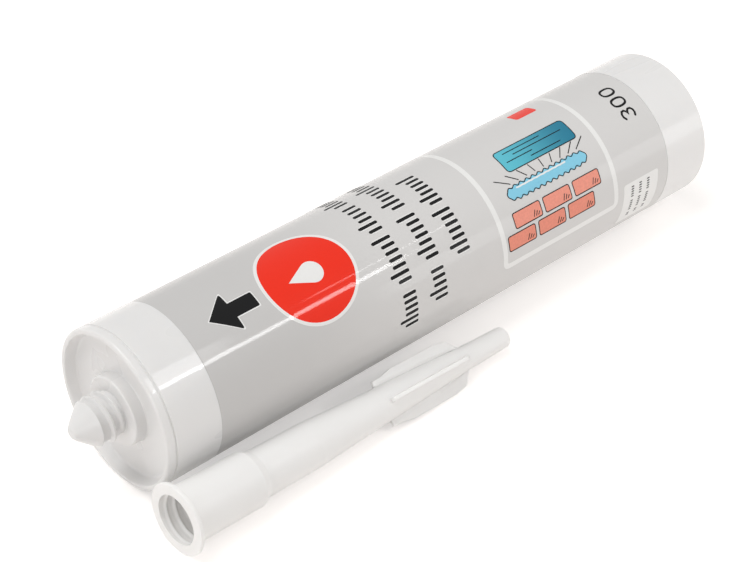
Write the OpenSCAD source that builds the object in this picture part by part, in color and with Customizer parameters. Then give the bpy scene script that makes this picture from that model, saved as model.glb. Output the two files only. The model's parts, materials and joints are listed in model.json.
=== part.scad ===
// Construction adhesive cartridge with its nozzle lying beside it.
// The tube lies along X with its neck towards -X, and Z = 0 is the surface it lies on.
// Axial places on the tube count from its front rim, towards the rear mouth.
// Angles round the tube count from its top, positive towards the nozzle's side (-Y).

/* [Tube] */
// Outer diameter of the tube
tube_d = 49; // [45:0.5:54]
// Length of the tube from the front rim to the rear end
tube_len = 219; // [205:1:240]
// Thickness of the tube's wall
tube_wall = 1.3; // [1.1:0.1:1.6]
// Length of the wider mouth at the rear end
mouth_len = 15; // [8:1:18]
// Extra radius of the mouth over the bore
mouth_step = 0.3; // [0.2:0.1:0.5]
// Bevel on the edges of the rear end
rear_bevel = 0.25; // [0.1:0.05:0.3]

/* [Head] */
// Depth of the dished head behind the front rim
dish_depth = 3.5; // [2.5:0.1:4.5]
// Thickness of the head plate
head_wall = 2; // [1.5:0.1:3]
// Width of the front rim
rim_width = 1.7; // [1.6:0.1:2.4]
// Slope of the dish's side, across the radius
dish_draft = 1; // [0.2:0.1:2]
// Radius of the rounded front edge
front_round = 1.2; // [0.5:0.1:1.4]
// Place of the groove round the front end
groove_at = 2.8; // [2.2:0.1:4]
// Width of the groove
groove_width = 0.8; // [0.5:0.1:1]
// Depth of the groove
groove_depth = 0.4; // [0.2:0.1:0.6]
// Fillet inside the tube, where the head meets the wall
head_fillet = 1.5; // [0.5:0.1:3]

/* [Neck] */
// Diameter of the collar round the foot of the neck
collar_d = 21.3; // [18:0.1:26]
// How far the collar stands in front of the rim plane
collar_rise = 0.3; // [0.1:0.1:1]
// Rounding of the collar's edge
collar_round = 0.6; // [0.3:0.1:0.9]
// Diameter over the crests of the thread
thread_d = 14.6; // [13:0.1:16]
// Depth of the thread
thread_depth = 1; // [0.6:0.1:1.2]
// Pitch of the thread
thread_pitch = 3; // [2:0.25:4]
// Length of the threaded neck in front of the collar
neck_len = 7.7; // [6.5:0.1:12]
// Wall of the neck under the thread
neck_wall = 1.5; // [1:0.1:2]
// Length of the closed cone in front of the thread
cone_len = 4.5; // [3:0.1:8]
// Radius of the cone where its rounded tip begins
cone_tip_r = 3.2; // [2:0.1:4]
// Length of the rounded tip
tip_round = 1.5; // [1:0.1:3]
// Thickness of the closed tip, which is cut off before use
tip_wall = 1.4; // [0.8:0.1:2]

/* [Label] */
// Distance from the front rim to the label
label_at = 18.2; // [10:0.1:25]
// Length of the label
label_len = 182.4; // [150:0.1:185]
// Thickness of the label
label_t = 0.3; // [0.1:0.05:0.4]
// Thickness of the ink on it
ink_t = 0.1; // [0.05:0.05:0.2]

/* [Print] */
// Diameter of the red badge
badge_d = 29; // [20:1:34]
// Width of the white line round the badge
badge_line = 1; // [0.5:0.1:2]
// Size of the white drop on the badge
drop_size = 7; // [4:0.5:9]
// Length of the dark arrow that points to the neck
arrow_len = 16; // [10:1:20]
// Height of a row of dark marks
mark_h = 5; // [3:0.5:7]
// Length of the framed panel
frame_len = 51; // [45:1:54]
// Width of the frame's white line
frame_line = 1.8; // [1:0.1:3]
// Length of a block in the framed picture
block_len = 11.5; // [8:0.5:11.5]
// Height of a block
block_h = 4.8; // [3:0.2:5]
// Gap between two blocks of a course
block_gap = 1.5; // [0.5:0.5:1.5]
// Rounding of a block's corners
block_round = 0.8; // [0.3:0.1:1.2]
// Shift of the second course of blocks towards the front
course_shift = 4; // [0:0.5:4]
// Diameter of the discs that make the bead of paste
bead_d = 4.4; // [3:0.2:5]
// Distance between two discs of the bead
bead_pitch = 2.6; // [2:0.1:2.8]
// Length of the board over the bead
board_len = 30; // [20:1:34]
// Height of the board
board_h = 8; // [5:0.5:9]
// Rounding of the board's corners
board_round = 1.5; // [0.5:0.1:2]
// Shift of the board towards the rear
board_shift = 3; // [0:0.5:4]
// Length of the red patch in the frame
patch_len = 9; // [5:0.5:10]
// Height of the red patch
patch_h = 5; // [3:0.5:6]
// Rounding of the red patch's corners
patch_round = 1; // [0.5:0.1:1.4]
// Height of the printed figures
figure_h = 6; // [4:0.5:7]
// Stroke of the printed figures
figure_line = 0.8; // [0.5:0.1:1]

/* [Filling and piston] */
// Length of the column of adhesive
fill_len = 177; // [150:1:180]
// Length of the piston
piston_len = 17; // [14:1:20]
// Thickness of the piston's front plate
piston_plate = 1.6; // [1.2:0.1:2.5]
// Thickness of the piston's skirt
skirt_wall = 1.2; // [0.8:0.1:2]
// Length of each sealing lip
lip_len = 2.4; // [1.5:0.1:3.5]
// How far the lips stand out from the skirt
lip_height = 0.6; // [0.3:0.1:1]
// Height of the ribs behind the plate
rib_h = 4; // [2:0.5:6]
// Thickness of the ribs
rib_t = 1.2; // [0.8:0.1:2]
// Number of ribs
rib_count = 8; // [4:1:12]
// Diameter of the ring that joins the ribs
hub_d = 14; // [10:1:18]

/* [Nozzle] */
// Length of the nozzle from its flange to its tip
nozzle_len = 125.4; // [120:0.2:140]
// Diameter of the flange
flange_d = 21.4; // [20:0.2:24]
// Thickness of the flange
flange_t = 1.4; // [1:0.1:2]
// Length of the barrel that takes the neck
barrel_len = 25; // [20:0.5:30]
// Thickness of the barrel's wall
barrel_wall = 0.85; // [0.6:0.05:1.2]
// Length of the step down from the barrel
step_len = 2.6; // [1:0.1:4]
// Radius of the stem next to the barrel
stem_r = 7; // [6.8:0.1:7.4]
// Radius of the stem where the fins begin
stem_end_r = 5.4; // [5:0.1:6]
// Radius of the tip tube
tip_r = 3.7; // [3.2:0.1:4]
// Thickness of the stem's wall
stem_wall = 1; // [0.7:0.05:1.3]
// Distance from the flange to where the stem starts to taper
taper_at = 47; // [35:1:55]
// Distance from the flange to the fins
fin_at = 75; // [70:1:80]
// Length of the fins
fin_len = 33; // [25:1:34]
// Radius over the fins
fin_r = 8.1; // [7.6:0.1:9]
// Thickness of a fin
fin_t = 1.2; // [0.8:0.1:1.8]
// Number of fins
fin_count = 4; // [4:4:4]
// Rounding of the closed nozzle tip
nozzle_tip_round = 1.8; // [1:0.1:2.2]

/* [Layout] */
// Distance between the tube's axis and the nozzle's flange
nozzle_beside = 33.3; // [33:0.1:50]
// Distance that the flange lies in front of the rim plane
nozzle_ahead = 5.4; // [-20:0.1:8]
// Turn of the nozzle away from the tube's direction, in degrees
nozzle_turn = 0.9; // [0:0.1:1.5]

/* [Clearances] */
// Radial gap between the sealing lips and the bore
lip_gap = 0.05; // [0.02:0.01:0.09]
// Radial gap between the adhesive and the bore
fill_gap = 0.05; // [0.02:0.01:0.1]
// Gap between the adhesive and the piston
face_gap = 0.2; // [0.1:0.05:0.3]
// Radial gap between the neck's thread and the nozzle's socket
socket_gap = 0.15; // [0.1:0.05:0.25]

/* [Hidden] */
$fn = 96;

// Radii of the tube
tube_r = tube_d / 2;
bore_r = tube_r - tube_wall;
mouth_r = bore_r + mouth_step;
label_out = tube_r - ink_t;
seat_r = label_out - label_t;
dish_r = tube_r - rim_width;
collar_r = collar_d / 2;
thread_r = thread_d / 2;
root_r = thread_r - thread_depth;
cone_r = thread_r - 0.3 * thread_depth;
neck_bore = root_r - neck_wall;

// Axial places on the tube
head_back = dish_depth + head_wall;
neck_front = -collar_rise - neck_len;
cone_front = neck_front - cone_len;
apex = cone_front - tip_round;
label_end = label_at + label_len;
mouth_front = tube_len - mouth_len;
piston_at = head_back + fill_len + face_gap;

// The nozzle lies on its flange and on the ends of two fins
fin_reach = (fin_r + fin_t / 2) * cos(45);
fin_full = fin_at + fin_len - fin_r;
nozzle_tilt = atan((flange_d / 2 - fin_reach) / (fin_full - flange_t));
nozzle_z = flange_d / 2 * cos(nozzle_tilt) + flange_t * sin(nozzle_tilt);
barrel_r = thread_r + socket_gap + barrel_wall;
socket_r = thread_r + socket_gap;

// The origin is under the middle of the whole set
mid_x = (tube_len + apex) / 2;
mid_y = (tube_r - nozzle_beside - flange_d / 2 * cos(nozzle_turn)) / 2;

// Thread form: points a turn, depth of its foot in the neck, and half the width of foot and crest
thread_steps = 30;
thread_bite = 0.4;
thread_foot = 0.37 * thread_pitch;
thread_crest = 0.12 * thread_pitch;
thread_turns = (neck_len - 2 * thread_foot) / thread_pitch;
run_out = 6;

// Rows of dark marks: place along the label as a share of its length, then spans between two angles
mark_rows = [
    [0.385, [[70, 96], [28, 62], [-8, 22], [-52, -14]]],
    [0.450, [[64, 87], [22, 56], [-46, 14]]],
    [0.512, [[30, 63], [-8, 24]]]
];
// Short dark rows on the white panel at the rear of the label, and their height
panel_rows = [0.905, 0.925, 0.945];
row_h = 1.2;

function arc(cx, cy, r, a0, a1, n) = [for (i = [0:n]) let (a = a0 + (a1 - a0) * i / n) [cx + r * cos(a), cy + r * sin(a)]];
function along_label(share) = label_at + share * label_len;

// Turns a shape that stands on Z so that it lies on the tube's axis, front rim at the origin's plane
module lay_tube() {
    translate([-mid_x, -mid_y, tube_r]) rotate([0, 90, 0]) children();
}

// Solid of revolution from a list of [radius, axial place]
module turned(points) {
    rotate_extrude() polygon(points);
}

// Helical ridge: foot and crest points swept round the neck, low at both ends
module thread_ridge(from, turns) {
    steps = floor(turns * thread_steps);
    low = root_r - thread_bite;
    points = [
        for (i = [0:steps])
            let (a = 360 * i / thread_steps + 2)
            let (z = from + thread_pitch * i / thread_steps)
            let (top = low + 0.1 + (thread_r - low - 0.1) * min(1, min(i, steps - i) / run_out))
            for (p = [[low, -thread_foot], [top, -thread_crest], [top, thread_crest], [low, thread_foot]])
                [p[0] * cos(a), p[0] * sin(a), z + p[1]]
    ];
    sides = [
        for (i = [0:steps - 1])
            for (k = [0:3])
                let (n = (k + 1) % 4)
                [4 * i + k, 4 * i + 4 + k, 4 * i + 4 + n, 4 * i + n]
    ];
    polyhedron(points, concat(sides, [[0, 1, 2, 3]], [[4 * steps + 3, 4 * steps + 2, 4 * steps + 1, 4 * steps]]));
}

// Outside of the tube, from the closed tip to the rear end
function tube_outside() = concat(
    [for (i = [0:6]) [cone_tip_r * sin(15 * i), cone_front - tip_round * cos(15 * i)]],
    [[cone_r, neck_front], [root_r, neck_front], [root_r, -collar_rise]],
    arc(collar_r - collar_round, collar_round - collar_rise, collar_round, -90, 0, 5),
    [[collar_r, dish_depth], [dish_r - dish_draft, dish_depth], [dish_r, 0]],
    arc(tube_r - front_round, front_round, front_round, -90, 0, 6),
    [[tube_r, groove_at - groove_width / 2], [tube_r - groove_depth, groove_at - groove_width / 5]],
    [[tube_r - groove_depth, groove_at + groove_width / 5], [tube_r, groove_at + groove_width / 2]],
    [[tube_r, label_at], [seat_r, label_at], [seat_r, label_end], [tube_r, label_end]],
    [[tube_r, tube_len - rear_bevel], [tube_r - rear_bevel, tube_len]]
);

// Inside of the tube, from the rear mouth to the closed tip
function tube_inside() = concat(
    [[mouth_r, tube_len], [mouth_r, mouth_front], [bore_r, mouth_front - mouth_step]],
    arc(bore_r - head_fillet, head_back + head_fillet, head_fillet, 0, -90, 5),
    [[neck_bore, head_back], [neck_bore, neck_front]],
    [[cone_tip_r - tip_wall, cone_front], [0, apex + tip_wall]]
);

module tube() {
    color([0.93, 0.93, 0.93]) lay_tube() union() {
        turned(concat(tube_outside(), tube_inside()));
        thread_ridge(neck_front + thread_foot + 0.1, thread_turns);
    }
}

module label() {
    color([0.78, 0.78, 0.77]) lay_tube() rotate_extrude()
        translate([seat_r, label_at]) square([label_t, label_len]);
}

// Ink laid round the tube between two places and two angles. over makes it thicker, to cut with
module ink_band(x0, x1, a0, a1, over = 0) {
    lay_tube() rotate([0, 0, a0 + 180]) rotate_extrude(angle = a1 - a0)
        translate([label_out - over, x0]) square([ink_t + 2 * over, x1 - x0]);
}

// Ink in the form of a flat drawing laid on the label: its X runs to the rear, its Y round the tube
module ink_shape(x, a) {
    intersection() {
        lay_tube() rotate_extrude() translate([label_out, label_at]) square([ink_t, label_len]);
        translate([-mid_x, -mid_y, tube_r]) rotate([a, 0, 0]) translate([x, 0, 0])
            linear_extrude(height = tube_d) children();
    }
}

module rounded(size, r) {
    for (sx = [-1, 1]) for (sy = [-1, 1])
        translate([sx * (size[0] / 2 - r), sy * (size[1] / 2 - r)]) circle(r = r, $fn = 24);
    square([size[0] - 2 * r, size[1]], center = true);
    square([size[0], size[1] - 2 * r], center = true);
}

badge_x = along_label(0.235);
badge_turn = 26;
arrow_x = along_label(0.09);
arrow_turn = 24;
frame_x = along_label(0.731);
frame_turns = [-62, 95];
figure_x = along_label(0.955);
panel_x = along_label(0.93);
panel_turns = [80, 118];
panel_len = 16;
patch_x = along_label(0.80);
patch_turn = -16;
board_turn = 20;
bead_turn = 44;
course_turns = [62, 76];

// A drop: a disc with a point towards the front
module drop() {
    r = drop_size / 2;
    translate([r * 0.4, 0]) circle(r = r, $fn = 32);
    polygon([[-r * 2, 0], [r * 0.4 - r * 0.42, r * 0.9], [r * 0.4 - r * 0.42, -r * 0.9]]);
}

module print_red() {
    color([0.88, 0.13, 0.05]) {
        ink_shape(badge_x, badge_turn) difference() {
            circle(d = badge_d, $fn = 64);
            drop();
        }
        ink_shape(patch_x, patch_turn) rounded([patch_len, patch_h], patch_round);
    }
}

module print_white() {
    color([0.95, 0.95, 0.94]) {
        ink_shape(badge_x, badge_turn) {
            difference() {
                circle(d = badge_d + 2 * badge_line, $fn = 64);
                circle(d = badge_d, $fn = 64);
            }
            drop();
        }
        ink_frame();
        ink_panel();
    }
}

// White line round the framed panel
module ink_frame() {
    front = frame_x - frame_len / 2;
    rear = frame_x + frame_len / 2;
    side = frame_line / tube_r * 180 / PI;
    difference() {
        ink_band(front, rear, frame_turns[0], frame_turns[1]);
        ink_band(front + frame_line, rear - frame_line, frame_turns[0] + side, frame_turns[1] - side, ink_t);
    }
}

// White panel with gaps for its dark rows
module ink_panel() {
    difference() {
        ink_band(panel_x - panel_len / 2, panel_x + panel_len / 2, panel_turns[0], panel_turns[1]);
        for (row = panel_rows) panel_row(row, ink_t);
    }
}

module panel_row(row, over = 0) {
    ink_band(along_label(row), along_label(row) + row_h, panel_turns[0] + 4, panel_turns[1] - 6, over);
}

// Flat shape with two round ends
module slot(length, r) {
    for (side = [-1, 1]) translate([side * (length / 2 - r), 0]) circle(r = r, $fn = 32);
    square([length - 2 * r, 2 * r], center = true);
}

// Figure nought: a ring with straight sides
module nought() {
    r = figure_h * 0.28;
    difference() {
        slot(figure_h, r);
        slot(figure_h - 2 * figure_line, r - figure_line);
    }
}

// Figure three: two open rings, one over the other
module three() {
    r = (figure_h + figure_line) / 4;
    for (side = [-1, 1]) translate([side * (figure_h / 2 - r), 0]) difference() {
        circle(r = r, $fn = 32);
        circle(r = r - figure_line, $fn = 32);
        translate([-side * r / 2, r]) square([r, 2 * r], center = true);
    }
}

module print_dark() {
    color([0.12, 0.12, 0.13]) {
        for (row = mark_rows) for (span = row[1])
            ink_band(along_label(row[0]) - mark_h / 2, along_label(row[0]) + mark_h / 2, span[0], span[1]);
        ink_shape(arrow_x, arrow_turn) {
            polygon([[-arrow_len / 2, 0], [0, arrow_len * 0.4], [0, -arrow_len * 0.4]]);
            translate([arrow_len / 4, 0]) square([arrow_len / 2, arrow_len * 0.3], center = true);
        }
        ink_shape(figure_x, 32) three();
        ink_shape(figure_x, 20) nought();
        ink_shape(figure_x, 8) nought();
        for (row = panel_rows) panel_row(row);
    }
}

// Flat design in the frame: courses of blocks, a bead of paste on them and a board above
module print_salmon() {
    pitch = block_len + block_gap;
    color([0.93, 0.56, 0.48])
        for (course = [0:1]) for (k = [-1:1])
            ink_shape(frame_x + pitch * k - course_shift * course, course_turns[course])
                rounded([block_len, block_h], block_round);
}

module print_blue() {
    color([0.55, 0.82, 0.92])
        ink_shape(frame_x, bead_turn) for (k = [-6:6]) translate([bead_pitch * k, 0]) circle(d = bead_d, $fn = 24);
}

module print_teal() {
    color([0.18, 0.62, 0.72]) ink_shape(frame_x + board_shift, board_turn)
        rounded([board_len, board_h], board_round);
}

module adhesive() {
    r = bore_r - fill_gap;
    neck_r = neck_bore - fill_gap;
    front = head_back + fill_gap;
    color([0.86, 0.86, 0.84]) lay_tube() turned(concat(
        [[0, neck_front], [neck_r, neck_front], [neck_r, front]],
        arc(r - head_fillet, front + head_fillet, head_fillet, -90, 0, 5),
        [[r, head_back + fill_len], [0, head_back + fill_len]]
    ));
}

module piston() {
    lip_r = bore_r - lip_gap;
    skirt_r = lip_r - lip_height;
    cup_r = skirt_r - skirt_wall;
    rear = piston_at + piston_len;
    back = piston_at + piston_plate;
    color([0.90, 0.90, 0.88]) lay_tube() union() {
        turned([
            [0, piston_at], [skirt_r, piston_at], [lip_r, piston_at + lip_height],
            [lip_r, piston_at + lip_len], [skirt_r, piston_at + lip_len + lip_height],
            [skirt_r, rear - lip_len - lip_height], [lip_r, rear - lip_len],
            [lip_r, rear], [cup_r, rear], [cup_r, back], [0, back]
        ]);
        for (k = [0:rib_count - 1]) rotate([0, 0, 360 / rib_count * k])
            translate([hub_d / 2 - rib_t / 2, -rib_t / 2, back - rib_t / 2])
                cube([cup_r + skirt_wall / 2 - hub_d / 2 + rib_t / 2, rib_t, rib_h + rib_t / 2]);
        translate([0, 0, back - rib_t / 2]) difference() {
            cylinder(d = hub_d, h = rib_h + rib_t / 2);
            translate([0, 0, -1]) cylinder(d = hub_d - 2 * rib_t, h = rib_h + rib_t + 2);
        }
    }
}

// Outside and inside of the nozzle as [radius, distance from the flange's face]
function nozzle_outside() = concat(
    [[flange_d / 2 - 0.3, 0], [flange_d / 2, 0.3], [flange_d / 2, flange_t]],
    [[barrel_r + 0.4, flange_t], [barrel_r, flange_t + 0.6], [barrel_r, barrel_len]],
    [[stem_r, barrel_len + step_len], [stem_r - 0.15, taper_at], [stem_end_r, fin_at - 2.5], [stem_end_r, fin_at]],
    [[tip_r, fin_at + fin_len], [tip_r - 0.35, nozzle_len - nozzle_tip_round]],
    [for (i = [1:6]) [
        tip_r - 0.35 - nozzle_tip_round * (1 - cos(15 * i)),
        nozzle_len - nozzle_tip_round * (1 - sin(15 * i))
    ]],
    [[0, nozzle_len]]
);

function nozzle_inside() = [
    [0, nozzle_len - stem_wall], [tip_r - 0.35 - stem_wall, nozzle_len - nozzle_tip_round - stem_wall],
    [tip_r - stem_wall, fin_at + fin_len], [stem_end_r - stem_wall, fin_at], [stem_end_r - stem_wall, fin_at - 2.5],
    [stem_r - 0.15 - stem_wall, taper_at], [stem_r - stem_wall, barrel_len + step_len],
    [stem_r - stem_wall, barrel_len], [socket_r, barrel_len - 1], [socket_r, 0]
];

// One fin: a thin plate with a notched start and a sloping end
module fin() {
    end = fin_at + fin_len;
    root = stem_wall / 2;
    rotate([90, 0, 0]) linear_extrude(height = fin_t, center = true) polygon([
        [stem_end_r - root, fin_at], [fin_r - 1, fin_at], [fin_r - 0.8, fin_at + 4], [fin_r, fin_at + 8],
        [fin_r, fin_full], [fin_r - 0.7, end - 3.5], [tip_r - 0.1, end], [tip_r - root, end]
    ]);
}

module nozzle() {
    color([0.94, 0.94, 0.93, 0.85])
        translate([-mid_x - nozzle_ahead, -mid_y - nozzle_beside, nozzle_z])
            rotate([0, 90 + nozzle_tilt, nozzle_turn]) union() {
                turned(concat(nozzle_outside(), nozzle_inside()));
                for (k = [0:fin_count - 1]) rotate([0, 0, 45 + 360 / fin_count * k]) fin();
            }
}

tube();
label();
print_red();
print_white();
print_dark();
print_teal();
print_salmon();
print_blue();
adhesive();
piston();
nozzle();
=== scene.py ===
"""Looks of a construction adhesive cartridge: a white tube with a printed film label, its piston and filling, and the
loose nozzle that lies beside it. Lengths are in metres where nothing else is said, and angles round the tube are in
degrees from its top, positive towards the nozzle's side."""

import json
import logging
import math
from dataclasses import dataclass, field
from enum import Enum

import bmesh
import bpy
import numpy as np
from mathutils import Matrix, Vector


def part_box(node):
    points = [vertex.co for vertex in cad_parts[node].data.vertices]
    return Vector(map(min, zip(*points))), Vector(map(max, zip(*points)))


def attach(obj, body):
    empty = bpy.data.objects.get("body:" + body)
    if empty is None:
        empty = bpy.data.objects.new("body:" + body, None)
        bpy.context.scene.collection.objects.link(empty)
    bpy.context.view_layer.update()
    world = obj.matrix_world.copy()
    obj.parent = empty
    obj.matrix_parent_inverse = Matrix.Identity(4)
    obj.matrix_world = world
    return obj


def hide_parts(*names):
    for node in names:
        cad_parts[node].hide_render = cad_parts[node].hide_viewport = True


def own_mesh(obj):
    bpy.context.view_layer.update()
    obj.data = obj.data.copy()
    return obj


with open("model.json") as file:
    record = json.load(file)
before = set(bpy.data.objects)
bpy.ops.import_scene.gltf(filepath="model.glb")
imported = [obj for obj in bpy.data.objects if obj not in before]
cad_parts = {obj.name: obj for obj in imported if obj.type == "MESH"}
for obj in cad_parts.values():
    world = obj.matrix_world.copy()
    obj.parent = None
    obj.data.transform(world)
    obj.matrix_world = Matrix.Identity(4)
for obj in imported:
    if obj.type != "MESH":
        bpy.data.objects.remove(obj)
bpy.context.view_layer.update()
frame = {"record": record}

log = logging.getLogger("cartridge")
MM = 0.001
SHARP_ANGLE = math.radians(38)
SAME_POINT = 1e-7
SAME_LENGTH = 1e-8
MIDDLE = (0.2, 0.8)

Pair = tuple[float, float]
Triple = tuple[float, float, float]
Constants = tuple[tuple[str, float | Triple], ...]
Socket = bpy.types.NodeSocket
Inputs = dict[str | int, object]


@dataclass(frozen=True)
class Line:
    """An axis in space with the two directions across it that angles are counted from."""

    start: np.ndarray
    along: np.ndarray
    up: np.ndarray
    side: np.ndarray

    def out(self, angle: np.ndarray) -> np.ndarray:
        """Directions cos(angle) * up + sin(angle) * side away from the axis, for angles in degrees."""
        turn = np.radians(angle)
        return np.cos(turn)[..., None] * self.up + np.sin(turn)[..., None] * self.side

    def place(self, distance: np.ndarray, radius: np.ndarray, angle: np.ndarray) -> np.ndarray:
        """Points start + distance * along + radius * out(angle), for arrays of distances, radii and angles."""
        distance, radius, angle = np.broadcast_arrays(distance, radius, angle)
        return self.start + distance[..., None] * self.along + radius[..., None] * self.out(angle)


def rounded(corners: list[Triple], steps: int = 6) -> np.ndarray:
    """Outline through the corners, each rounded by its own radius.

    A corner P with the unit directions u and v to its neighbours starts to round at P + t u and ends at P + t v, where
    t = radius / tan(half the angle between u and v). Between them runs the curve (1-s)^2 A + 2s(1-s) P + s^2 B.

    Args:
        corners: Rows of (first coordinate, second coordinate, rounding radius in millimetres).
        steps: Points on each rounded corner, less one.

    Returns:
        Array of (n, 2) outline points.
    """
    table = np.array(corners, float)
    points = [table[0, :2]]
    for before, here, after in zip(table[:-2], table[1:-1], table[2:]):
        back, ahead = before[:2] - here[:2], after[:2] - here[:2]
        long_back, long_ahead = np.linalg.norm(back), np.linalg.norm(ahead)
        if here[2] <= 0 or long_back == 0 or long_ahead == 0:
            points.append(here[:2])
            continue
        u, v = back / long_back, ahead / long_ahead
        half = 0.5 * math.acos(float(np.clip(u @ v, -1, 1)))
        cut = min(here[2] * MM / max(math.tan(half), 1e-6), 0.49 * long_back, 0.49 * long_ahead)
        s = np.linspace(0, 1, steps + 1)[:, None]
        points.extend((1 - s) ** 2 * (here[:2] + cut * u) + 2 * s * (1 - s) * here[:2] + s**2 * (here[:2] + cut * v))
    points.append(table[-1, :2])
    return np.array(points)


def held(outline: np.ndarray, near: float = 0.25 * MM) -> np.ndarray:
    """Adds two points to each long stretch of an outline, close to its ends, so that smooth shading stays straight.

    A stretch from A to B that is longer than five times the distance gets the points A + near u and B - near u, where
    u is the unit direction from A to B.

    Args:
        outline: Array of (n, 2) points.
        near: Distance of the new points from the ends.

    Returns:
        Array of more points on the same outline.
    """
    steps = np.diff(outline, axis=0)
    long = np.linalg.norm(steps, axis=1)
    unit = steps / np.maximum(long, 1e-12)[:, None]
    rows = np.stack([outline[:-1], outline[:-1] + near * unit, outline[1:] - near * unit], axis=1)
    keep = np.stack([np.ones(long.shape, bool), long > 5 * near, long > 5 * near], axis=1)
    return np.concatenate([rows[keep], outline[-1:]])


def lengths(path: np.ndarray) -> np.ndarray:
    """Length of a path of (n, 2) points up to each of them, from 0."""
    return np.concatenate([[0], np.cumsum(np.linalg.norm(np.diff(path, axis=0), axis=1))])


def points_at(path: np.ndarray, where: np.ndarray) -> np.ndarray:
    """Points at given lengths along a path of (n, 2) points."""
    run = lengths(path)
    return np.stack([np.interp(where, run, path[:, k]) for k in (0, 1)], axis=1)


def loop(corners: list[Triple], steps: int, count: int) -> np.ndarray:
    """Closed outline through rounded() corners, the last of which is the first again, with count even points more."""
    points = rounded(corners, steps)
    run = lengths(points)
    return points_at(points, np.union1d(run, np.linspace(0, run[-1], count))[:-1])


def box_outline(width: float, height: float, corner: float, count: int = 48) -> np.ndarray:
    """Outline of a box about its middle, with corners rounded by a radius in millimetres and count points or more."""
    w, h = width / 2, height / 2
    return loop([(w, 0, 0), (w, h, corner), (-w, h, corner), (-w, -h, corner), (w, -h, corner), (w, 0, 0)], 8, count)


def circle(radius: float, count: int) -> np.ndarray:
    """Array of (count, 2) points (radius cos t, radius sin t) on a circle."""
    turn = np.arange(count) * 2 * math.pi / count
    return radius * np.stack([np.cos(turn), np.sin(turn)], axis=1)


def ended(path: np.ndarray, width: float) -> np.ndarray:
    """Adds points near both ends of a path, so that a line's round ends are smooth.

    Args:
        path: Array of (n, 2) points.
        width: Width of the line that will follow it.

    Returns:
        Array of more points on the same path.
    """
    total = lengths(path)[-1]
    cap = width / 2 * (1 - np.cos(np.linspace(0, math.pi / 2, 8)))
    even = np.linspace(width / 2, max(total - width / 2, width / 2), max(3, int(total / MM)))
    return points_at(path, np.unique(np.concatenate([cap, even, total - cap])))


def capped(grid: np.ndarray, first: np.ndarray, last: np.ndarray) -> np.ndarray:
    """Closes a (rows, columns, size) grid with a row of equal points before its first row and one after its last."""
    shape = grid[:1].shape
    return np.concatenate([np.broadcast_to(first, shape), grid, np.broadcast_to(last, shape)])


def even_turn(count: int) -> np.ndarray:
    """Even angles round a full turn in degrees, from 0."""
    return np.arange(count) * 360 / count


def placed(name: str, data: bpy.types.ID) -> bpy.types.Object:
    """Puts a new object in the scene.

    Args:
        name: Its name.
        data: Its mesh, light or camera.

    Returns:
        The object.
    """
    thing = bpy.data.objects.new(name, data)
    bpy.context.scene.collection.objects.link(thing)
    return thing


@dataclass(frozen=True)
class Grain:
    """A noise pattern, stretched along X and with a scale in cells a metre, and the bump that it makes."""

    stretch: float
    scale: float
    detail: float
    strength: float = 0.0
    depth: float = 0.0


@dataclass
class Graph:
    """A node tree and short ways to make it grow."""

    tree: bpy.types.NodeTree
    grains: dict[Grain, Socket] = field(default_factory=dict)

    def feed(self, node: bpy.types.Node, inputs: Inputs) -> None:
        """Sets inputs of a node.

        Args:
            node: The node.
            inputs: For an input's name or number, the socket to link to it or its value.
        """
        for name, value in inputs.items():
            if isinstance(value, Socket):
                self.tree.links.new(value, node.inputs[name])
            else:
                node.inputs[name].default_value = value

    def add(self, kind: str, inputs: Inputs, output: str | int, **settings: object) -> Socket:
        """Adds a node.

        Args:
            kind: Its type, less the first words that all share.
            inputs: Its inputs, as for feed().
            output: Name or number of the output that is wanted.
            **settings: Its other settings.

        Returns:
            The output.
        """
        node = self.tree.nodes.new(f"ShaderNode{kind}")
        for name, value in settings.items():
            setattr(node, name, value)
        self.feed(node, inputs)
        return node.outputs[output]

    def place(self) -> Socket:
        """Socket with the object's own coordinates."""
        return self.add("TexCoord", {}, "Object")

    def noise(self, grain: Grain) -> Socket:
        """A noise pattern, made once for each grain.

        Args:
            grain: The pattern.

        Returns:
            Socket with a value from 0 to 1.
        """
        if grain not in self.grains:
            stretched = self.add("Mapping", {"Vector": self.place(), "Scale": (grain.stretch, 1, 1)}, "Vector")
            inputs = {"Vector": stretched, "Scale": grain.scale, "Detail": grain.detail}
            self.grains[grain] = self.add("TexNoise", inputs, "Fac")
        return self.grains[grain]

    def ranged(self, source: Socket, span: Pair, low: float, high: float, shape: str = "LINEAR") -> Socket:
        """Maps a span of a signal to the range from low to high and holds it at the ends."""
        inputs = {"Value": source, "From Min": span[0], "From Max": span[1], "To Min": low, "To Max": high}
        return self.add("MapRange", inputs, "Result", interpolation_type=shape)

    def tint(self, source: Socket, first: Triple, second: Triple) -> Socket:
        """Colour that runs from one tone to another over the middle of a signal.

        Args:
            source: Socket with the signal.
            first: Colour at its low end.
            second: Colour at its high end.

        Returns:
            Socket with the colour.
        """
        ramp = self.tree.nodes.new("ShaderNodeValToRGB")
        ramp.color_ramp.interpolation = "EASE"
        for stop, position, colour in zip(ramp.color_ramp.elements, MIDDLE, (first, second)):
            stop.position, stop.color = position, (*colour, 1)
        self.feed(ramp, {"Fac": source})
        return ramp.outputs["Color"]

    def relief(self, layers: tuple[Grain, ...]) -> Socket:
        """Bumps laid over each other.

        Args:
            layers: Their patterns, the lowest first.

        Returns:
            Socket with the normal.
        """
        under = {}
        for grain in layers:
            bump = {"Height": self.noise(grain), "Strength": grain.strength, "Distance": grain.depth}
            under = {"Normal": self.add("Bump", bump | under, "Normal")}
        return under["Normal"]


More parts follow.
